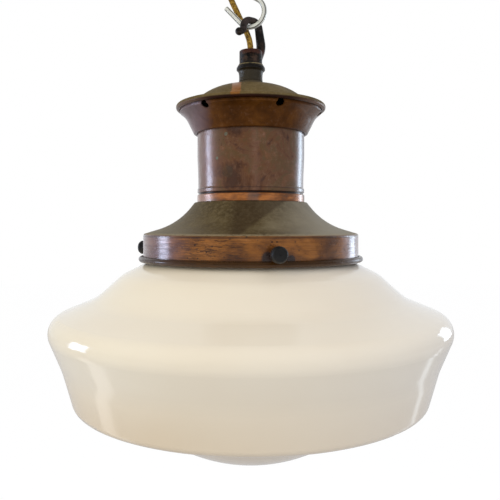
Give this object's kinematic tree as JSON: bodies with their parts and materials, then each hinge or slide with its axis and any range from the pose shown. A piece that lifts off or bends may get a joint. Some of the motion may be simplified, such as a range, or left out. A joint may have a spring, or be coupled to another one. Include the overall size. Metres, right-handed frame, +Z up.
{
  "type": "pendant light",
  "caption": "Opal glass pendant light with a spun copper gallery and vented dome cap, hung by a cast hook from a wire S-hook, with a bayonet lampholder and bulb inside.",
  "frame": {"origin": "point inside the top of the S-hook's upper loop, where the light hangs from its ceiling hook", "axes": "+Z up along the light's axis, -Y towards the viewer of the picture, +X to that viewer's right"},
  "size_m": [0.301, 0.301, 0.3833],
  "materials": {
    "zinc_wire": "bright zinc-plated wire, slightly dulled",
    "dark_bronze": "dark brown-black patina on cast and turned bronze",
    "patina_brass": "dull olive patina",
    "brass": "tarnished brass",
    "copper": "old spun copper, brown, polished by handling",
    "patina_copper": "dull olive-brown patina on spun copper",
    "steel_fixings": "plain steel",
    "spring_steel": "bright spring wire",
    "black_steel": "black finish, half gloss",
    "opal_glass": "opaque cream opal glass, fire polished",
    "porcelain": "glazed porcelain",
    "aluminium_cap": "bright aluminium",
    "solder": "dull solder",
    "clear_glass": "clear",
    "filament_wire": "tungsten wire",
    "flex_braid": "gold-brown braided textile",
    "core_insulation": "brown rubber insulation",
    "copper_wire": "bright stranded copper"
  },
  "bodies": {
    "s_hook": {"s_hook": "zinc_wire"},
    "lamp": {"suspension_hook": "dark_bronze", "hook_grub_screw": "steel_fixings", "lock_ring": "dark_bronze", "coupler": "dark_bronze", "seat_washer": "patina_brass", "threaded_tube": "brass", "dome_cap": "patina_copper", "dome_washer": "steel_fixings", "dome_nut": "brass", "vent_collar": "copper", "neck_tube": "copper", "gallery": "copper", "thumb_screw_nuts": "brass", "glass_shade": "opal_glass", "holder_cap": "brass", "holder_cap_ring": "brass", "holder_shell": "brass", "shade_ring": "brass", "holder_insulator": "porcelain", "holder_terminals": "brass", "terminal_screws": "steel_fixings", "plunger_spring_left": "spring_steel", "plunger_spring_right": "spring_steel", "inner_flex": "flex_braid", "holder_leads": "core_insulation", "flex": "flex_braid", "flex_cores": "core_insulation", "flex_wires": "copper_wire"},
    "thumb_screw_front": {"thumb_screw_front": "black_steel"},
    "thumb_screw_back": {"thumb_screw_back": "black_steel"},
    "thumb_screw_left": {"thumb_screw_left": "black_steel"},
    "bulb": {"bulb_cap": "aluminium_cap", "bulb_contacts": "solder", "bulb_glass": "clear_glass", "bulb_stem": "clear_glass", "bulb_filament": "filament_wire"},
    "plunger_left": {"plunger_left": "brass"},
    "plunger_right": {"plunger_right": "brass"}
  },
  "joints": [
    {"name": "lamp_swing", "type": "hinge", "parent": "s_hook", "child": "lamp", "pos_m": [0, 0, -0.0466], "axis": [0.9397, -0.342, 0], "range_deg": [-15, 15]},
    {"name": "thumb_screw_front_slide", "type": "slide", "parent": "lamp", "child": "thumb_screw_front", "axis": [0.1908, -0.9816, 0], "range_m": [0, 0.005]},
    {"name": "thumb_screw_back_slide", "type": "slide", "parent": "lamp", "child": "thumb_screw_back", "axis": [0.7547, 0.6561, 0], "range_m": [0, 0.005]},
    {"name": "thumb_screw_left_slide", "type": "slide", "parent": "lamp", "child": "thumb_screw_left", "axis": [-0.9455, 0.3256, 0], "range_m": [0, 0.005]},
    {"name": "bulb_push", "type": "slide", "parent": "lamp", "child": "bulb", "axis": [0, 0, 1], "range_m": [0, 0.002], "stiffness_N_per_m": 1500, "springref_m": -0.004},
    {"name": "plunger_left_slide", "type": "slide", "parent": "lamp", "child": "plunger_left", "axis": [0, 0, 1], "range_m": [0, 0.002], "deforming": ["plunger_spring_left"]},
    {"name": "plunger_right_slide", "type": "slide", "parent": "lamp", "child": "plunger_right", "axis": [0, 0, 1], "range_m": [0, 0.002], "deforming": ["plunger_spring_right"]}
  ],
  "couplings": [
    {"joint": "plunger_left_slide", "follows": "bulb_push", "ratio": 1},
    {"joint": "plunger_right_slide", "follows": "bulb_push", "ratio": 1}
  ]
}
